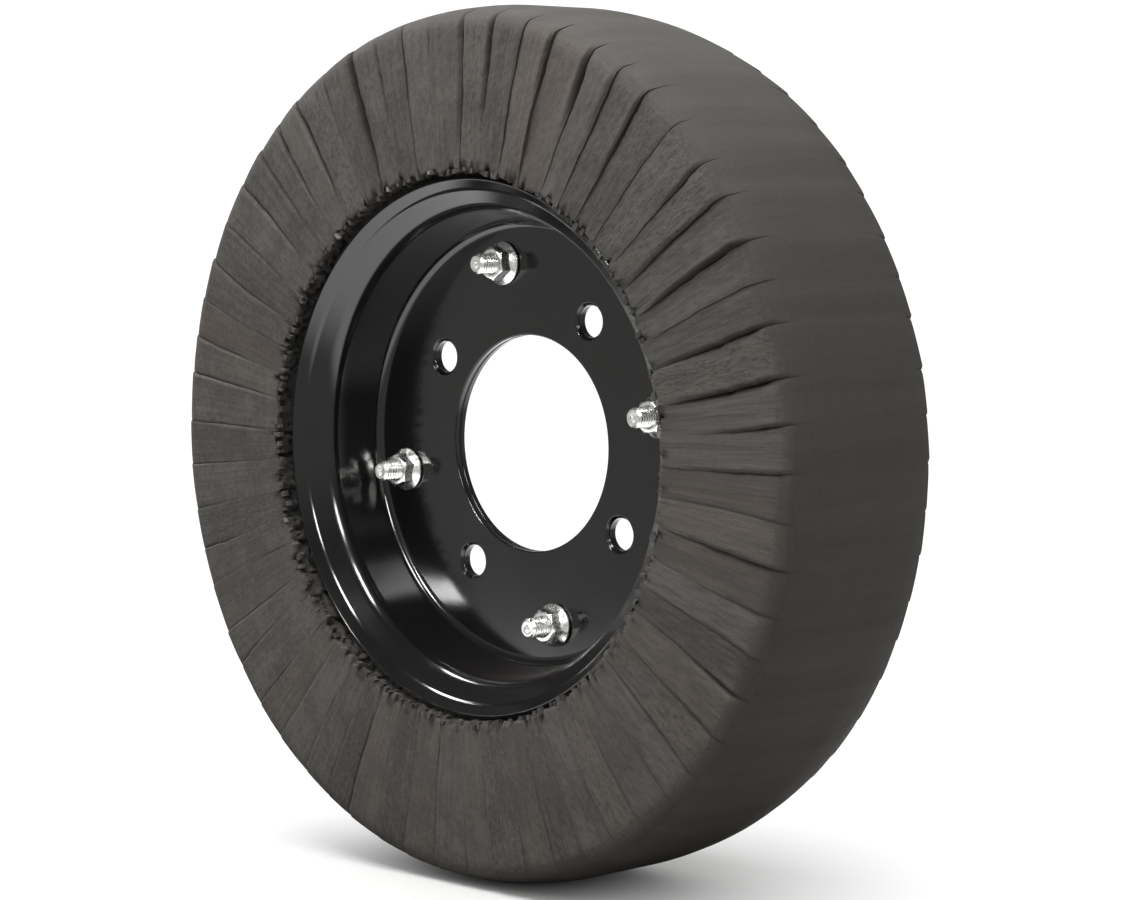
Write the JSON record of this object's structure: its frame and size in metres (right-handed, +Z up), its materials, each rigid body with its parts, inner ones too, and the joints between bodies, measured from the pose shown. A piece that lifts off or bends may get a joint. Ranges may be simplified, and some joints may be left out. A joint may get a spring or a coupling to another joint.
{
  "type": "tail wheel",
  "caption": "Solid laminated-rubber tail wheel: flat plies strung on steel hoops and clamped between two bolted pressed-steel rim halves with a central pilot bore and stud holes.",
  "frame": {"origin": "centre of the wheel, on its axis and on the joint plane between the two rim halves", "axes": "the wheel turns about Y; -Y is the side that the clamp bolts' flange nuts are on; +Z is up when the wheel stands on its tread"},
  "size_m": [0.4064, 0.1016, 0.4064],
  "materials": {
    "rim_paint": "gloss black enamel",
    "ply_rubber": "cut and buffed casing rubber, matt, with cord ends showing",
    "hoop_steel": "plain rolled rod",
    "zinc_fasteners": "bright zinc plating"
  },
  "bodies": {
    "wheel": {"rim_half_front": "rim_paint", "rim_half_back": "rim_paint", "ply_pack_01": "ply_rubber", "ply_pack_02": "ply_rubber", "ply_pack_03": "ply_rubber", "ply_pack_04": "ply_rubber", "ply_pack_05": "ply_rubber", "ply_pack_06": "ply_rubber", "ply_pack_07": "ply_rubber", "ply_pack_08": "ply_rubber", "ply_pack_09": "ply_rubber", "ply_pack_10": "ply_rubber", "ply_pack_11": "ply_rubber", "ply_pack_12": "ply_rubber", "ply_pack_13": "ply_rubber", "ply_pack_14": "ply_rubber", "ply_pack_15": "ply_rubber", "ply_pack_16": "ply_rubber", "ply_pack_17": "ply_rubber", "ply_pack_18": "ply_rubber", "ply_pack_19": "ply_rubber", "ply_pack_20": "ply_rubber", "ply_pack_21": "ply_rubber", "ply_pack_22": "ply_rubber", "ply_pack_23": "ply_rubber", "ply_pack_24": "ply_rubber", "ply_pack_25": "ply_rubber", "ply_pack_26": "ply_rubber", "ply_pack_27": "ply_rubber", "ply_pack_28": "ply_rubber", "ply_pack_29": "ply_rubber", "ply_pack_30": "ply_rubber", "tyre_hoop_front": "hoop_steel", "tyre_hoop_back": "hoop_steel"},
    "clamp_bolt_1": {"clamp_bolt_1": "zinc_fasteners"},
    "clamp_nut_1": {"clamp_nut_1": "zinc_fasteners"},
    "clamp_bolt_2": {"clamp_bolt_2": "zinc_fasteners"},
    "clamp_nut_2": {"clamp_nut_2": "zinc_fasteners"},
    "clamp_bolt_3": {"clamp_bolt_3": "zinc_fasteners"},
    "clamp_nut_3": {"clamp_nut_3": "zinc_fasteners"},
    "clamp_bolt_4": {"clamp_bolt_4": "zinc_fasteners"},
    "clamp_nut_4": {"clamp_nut_4": "zinc_fasteners"}
  },
  "joints": [
    {"name": "nut_1_travel", "type": "slide", "parent": "wheel", "child": "clamp_nut_1", "axis": [0, -1, 0], "range_m": [0, 0.01588]},
    {"name": "bolt_1_turn", "type": "hinge", "parent": "wheel", "child": "clamp_bolt_1", "pos_m": [0.08403, 0, 0.01694], "axis": [0, 1, 0], "range_deg": [0, 3601]},
    {"name": "nut_2_travel", "type": "slide", "parent": "wheel", "child": "clamp_nut_2", "axis": [0, -1, 0], "range_m": [0, 0.01588]},
    {"name": "bolt_2_turn", "type": "hinge", "parent": "wheel", "child": "clamp_bolt_2", "pos_m": [-0.01694, 0, 0.08403], "axis": [0, 1, 0], "range_deg": [0, 3601]},
    {"name": "nut_3_travel", "type": "slide", "parent": "wheel", "child": "clamp_nut_3", "axis": [0, -1, 0], "range_m": [0, 0.01588]},
    {"name": "bolt_3_turn", "type": "hinge", "parent": "wheel", "child": "clamp_bolt_3", "pos_m": [-0.08403, 0, -0.01694], "axis": [0, 1, 0], "range_deg": [0, 3601]},
    {"name": "nut_4_travel", "type": "slide", "parent": "wheel", "child": "clamp_nut_4", "axis": [0, -1, 0], "range_m": [0, 0.01588]},
    {"name": "bolt_4_turn", "type": "hinge", "parent": "wheel", "child": "clamp_bolt_4", "pos_m": [0.01694, 0, -0.08403], "axis": [0, 1, 0], "range_deg": [0, 3601]}
  ],
  "couplings": [
    {"joint": "bolt_1_turn", "follows": "nut_1_travel", "rad_per_m": 3957.9},
    {"joint": "bolt_2_turn", "follows": "nut_2_travel", "rad_per_m": 3957.9},
    {"joint": "bolt_3_turn", "follows": "nut_3_travel", "rad_per_m": 3957.9},
    {"joint": "bolt_4_turn", "follows": "nut_4_travel", "rad_per_m": 3957.9}
  ]
}
